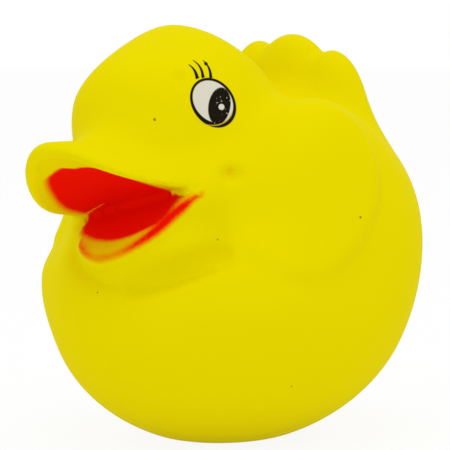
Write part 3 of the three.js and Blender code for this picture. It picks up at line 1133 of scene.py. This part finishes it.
@dataclass
class DuckBody:
    """The hollow moulding: the solid's copy drawn finely onto the mould's form, painted and printed."""

    mould: Mould = field(default_factory=Mould)
    spray: MouthSpray = field(default_factory=MouthSpray)
    stroke: LipStroke = field(default_factory=LipStroke)
    finish: VinylFinish = field(default_factory=VinylFinish)
    passes: tuple[DrawPass, ...] = (DrawPass(14, 0.0, 1.0), DrawPass(6, 0.5, 0.86), DrawPass(8, 1.0))
    step: float = 0.5
    probe: float = 0.02
    least_slope: float = 0.3
    slide: float = 0.4
    still_rounds: int = 3
    ease: float = 6.0
    meeting: float = 5.0

    def build(self) -> bpy.types.Object:
        """Makes the skin.

        Returns:
            The finished piece, without its material.
        """
        piece = copy_of(Node.BODY, "vinyl_moulding")
        for step in self.passes:
            if step.grain > 0.0:
                piece.data.remesh_voxel_size = step.grain * MILLIMETRE
                bpy.ops.object.voxel_remesh()
            self._draw(piece.data, step)
        self._settle(piece.data)
        bpy.ops.object.shade_smooth()
        self._trace(piece.data)
        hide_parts(Node.BODY.value)
        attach(piece, "root")
        return piece

    def _places(self, mesh: bpy.types.Mesh) -> Row:
        """The mesh's points in the mould's millimetres."""
        return read_rows(mesh, "co") / MILLIMETRE - np.array(self.mould.axes.shift)

    def _measure(self, places: Row, pressed: float, skin: Row) -> tuple[Row, Row]:
        """Distances to the mould's form and its outward slopes.

        Args:
            places: Rows of x, y and z.
            pressed: How far the fold and the throat are pressed in.
            skin: The skin each place belongs to.

        Returns:
            The distances, and rows of slopes.
        """
        here = self.mould.distance(places, pressed, skin)
        slope = np.empty_like(places)
        for k in range(3):
            moved = places.copy()
            moved[:, k] += self.probe
            slope[:, k] = (self.mould.distance(moved, pressed, skin) - here) / self.probe
        return here, slope

    def _skins(self, mesh: bpy.types.Mesh, places: Row, pressed: float) -> Row:
        """Which skin of the wall each point belongs to, told from the way the mesh faces there.

        Args:
            mesh: The mesh that is drawn.
            places: Its points in the mould's millimetres.
            pressed: How far the fold and the throat are pressed in.

        Returns:
            1 for the outer skin, -1 for the inner one and 0 about the base, where both meet.
        """
        _, slope = self._measure(places, pressed, np.ones(len(places)))
        lean = np.sum(slope * read_rows(mesh, "normal"), axis=1)
        return np.where(places[:, 2] < self.meeting, 0.0, np.sign(lean))

    def _draw(self, mesh: bpy.types.Mesh, step: DrawPass) -> None:
        """Draws a mesh onto the mould's form and evens it out along the surface.

        Args:
            mesh: The mesh that is drawn.
            step: The pass that is made.
        """
        places = self._places(mesh)
        edges = np.empty(len(mesh.edges) * 2, dtype=np.int64)
        mesh.edges.foreach_get("vertices", edges)
        ends = np.concatenate([edges[0::2], edges[1::2]])
        others = np.concatenate([edges[1::2], edges[0::2]])
        count = np.maximum(np.bincount(ends, minlength=len(places)), 1)
        skin = self._skins(mesh, places, step.pressed)
        for turn in range(step.rounds):
            here, slope = self._measure(places, step.pressed, skin)
            length = np.maximum(np.linalg.norm(slope, axis=1), self.least_slope)
            move = np.clip(here / length, -self.step, self.step)
            normal = slope / length[:, None]
            if turn < step.rounds - self.still_rounds:
                sums = [np.bincount(ends, places[others, k], len(places)) / count for k in range(3)]
                away = np.stack(sums, axis=1) - places
                away -= normal * np.sum(away * normal, axis=1)[:, None]
                places += away * self.slide
            places -= normal * move[:, None]
        move_points(mesh, (places + np.array(self.mould.axes.shift)) * MILLIMETRE)

    def _settle(self, mesh: bpy.types.Mesh) -> None:
        """Eases the skin's ends to within the solid's box.

        Args:
            mesh: The skin that is eased.
        """
        places = read_rows(mesh, "co")
        ease = self.ease * MILLIMETRE
        for sign, limit in zip((-1.0, 1.0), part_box(Node.BODY.value)):
            beyond = places * sign - np.array(limit) * sign
            over = np.maximum(beyond.max(axis=0), 0.0)
            share = np.clip((beyond + ease) / (over + ease), 0.0, 1.0)
            places -= sign * over * share * share
        move_points(mesh, places)

    def _trace(self, mesh: bpy.types.Mesh) -> None:
        """Writes the values that the paint follows onto the mesh.

        Args:
            mesh: The finished skin.
        """
        spot = self.mould.axes.to_head(tuple(self._places(mesh).T))
        values = {
            Trace.MOUTH: self.spray.inside(spot),
            Trace.LIP: self.stroke.inside(spot),
            Trace.HEAT: self.stroke.heat(spot),
        }
        for trace, value in values.items():
            layer = mesh.attributes.new(trace.value, "FLOAT", "POINT")
            layer.data.foreach_set("value", np.clip(value, -TRACE_LIMIT, TRACE_LIMIT).astype(np.float32))

    def dress(self, piece: bpy.types.Object, tools: PrintTools) -> None:
        """Gives the skin its vinyl, paint and print."""
        piece.data.materials.append(self.finish.material(tools, self.mould.axes))


@dataclass
class SqueakerPlug:
    """The push-in squeaker under the base, with its edges broken."""

    finish: PlugFinish = field(default_factory=PlugFinish)
    edge: float = 0.15
    edge_segments: int = 2
    edge_angle: float = math.radians(40.0)
    smooth_angle: float = math.radians(35.0)

    def build(self) -> bpy.types.Object:
        """Makes the plug.

        Returns:
            The finished piece, without its material.
        """
        piece = copy_of(Node.PLUG, "squeaker_plug")
        bevel = piece.modifiers.new("broken edges", "BEVEL")
        bevel.width = self.edge * MILLIMETRE
        bevel.segments = self.edge_segments
        bevel.limit_method = "ANGLE"
        bevel.angle_limit = self.edge_angle
        bpy.ops.object.modifier_apply(modifier=bevel.name)
        bpy.ops.object.shade_smooth_by_angle(angle=self.smooth_angle)
        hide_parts(Node.PLUG.value)
        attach(piece, "root")
        return piece

    def dress(self, piece: bpy.types.Object) -> None:
        """Gives the plug its plastic."""
        piece.data.materials.append(self.finish.material())


@dataclass
class Studio:
    """A plain pale floor, soft light all round and the camera."""

    floor_half: float = 3.0
    floor_white: float = 0.96
    floor_glow: float = 0.9
    floor_lift: float = 0.22
    surround: float = 0.86
    key_power: float = 1.45
    key_size: float = 0.6
    key_place: Triple = (0.2, -0.15, 0.85)
    key_aim: Triple = (0.0, 0.0, 0.045)
    sensor: float = 36.0
    lens: float = 162.0
    clip: Pair = (0.01, 20.0)
    reach: float = 0.45
    azimuth: float = math.radians(45.0)
    elevation: float = math.radians(7.0)
    target: Triple = (0.0, 0.0, 36.0)
    aim: Triple = (-1.862, -0.0235, 46.587)
    shift: Triple = field(default_factory=mould_shift)

    def build(self) -> None:
        """Builds floor, lights and camera."""
        self._floor()
        self._world()
        self._key()
        self._camera()

    def _floor(self) -> None:
        """The floor under the duck, white to the camera with the duck's shadow on it."""
        bpy.ops.object.select_all(action="DESELECT")
        bpy.ops.mesh.primitive_plane_add(size=2.0 * self.floor_half)
        floor = bpy.context.object
        floor.name = "studio_floor"
        made, bench = new_material("white floor")
        matt = bench.add("ShaderNodeBsdfDiffuse", {"Color": opaque((self.floor_white,) * 3)}).outputs[0]
        glow = bench.add("ShaderNodeEmission").outputs[0]
        span = self.floor_glow - self.floor_lift
        share = bench.math("MULTIPLY_ADD", bench.seen(), span, self.floor_lift)
        bench.finish(bench.add("ShaderNodeMixShader", {0: share, 1: matt, 2: glow}))
        floor.data.materials.append(made)

    def _world(self) -> None:
        """White all round, at a plain level on the duck."""
        world = bpy.data.worlds.new("white room")
        world.use_nodes = True
        bpy.context.scene.world = world
        bench = Bench(world.node_tree)
        level = bench.math("MULTIPLY_ADD", bench.seen(), 1.0 - self.surround, self.surround)
        white = bench.add("ShaderNodeBackground", {"Color": opaque((1.0, 1.0, 1.0)), "Strength": level})
        bench.finish(white, "ShaderNodeOutputWorld")

    def _key(self) -> None:
        """One large soft light above the duck."""
        bpy.ops.object.light_add(type="AREA", location=self.key_place)
        key = bpy.context.object
        key.name = "soft key"
        key.data.shape = "DISK"
        key.data.size = self.key_size
        key.data.energy = self.key_power
        toward = Vector(self.key_aim) - Vector(self.key_place)
        key.rotation_euler = toward.to_track_quat("-Z", "Y").to_euler()

    def _camera(self) -> None:
        """The camera at the photograph's angle, aimed so that the duck stands in its frame."""
        level = math.cos(self.elevation)
        back = (math.sin(self.azimuth) * level, -math.cos(self.azimuth) * level, math.sin(self.elevation))
        target = (Vector(self.target) + Vector(self.shift)) * MILLIMETRE
        bpy.ops.object.camera_add(location=target + Vector(back) * self.reach)
        camera = bpy.context.object
        camera.name = "photograph's camera"
        camera.data.sensor_width = self.sensor
        camera.data.lens = self.lens
        camera.data.clip_start, camera.data.clip_end = self.clip
        toward = (Vector(self.aim) + Vector(self.shift)) * MILLIMETRE - camera.location
        camera.rotation_euler = toward.to_track_quat("-Z", "Y").to_euler()
        bpy.context.scene.camera = camera


def main() -> None:
    """Builds the duck piece by piece, then the studio."""
    logging.basicConfig(level=logging.INFO, format="%(name)s: %(message)s")
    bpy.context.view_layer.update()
    bpy.context.scene.view_settings.view_transform = "Standard"
    tools = PrintTools()
    body = DuckBody()
    skin = body.build()
    body.dress(skin, tools)
    LOG.info("%s: %d faces", skin.name, len(skin.data.polygons))
    plug = SqueakerPlug()
    stopper = plug.build()
    plug.dress(stopper)
    LOG.info("%s: %d faces", stopper.name, len(stopper.data.polygons))
    Studio().build()
    LOG.info("studio: floor, soft light and camera")


if __name__ == "__main__":
    main()
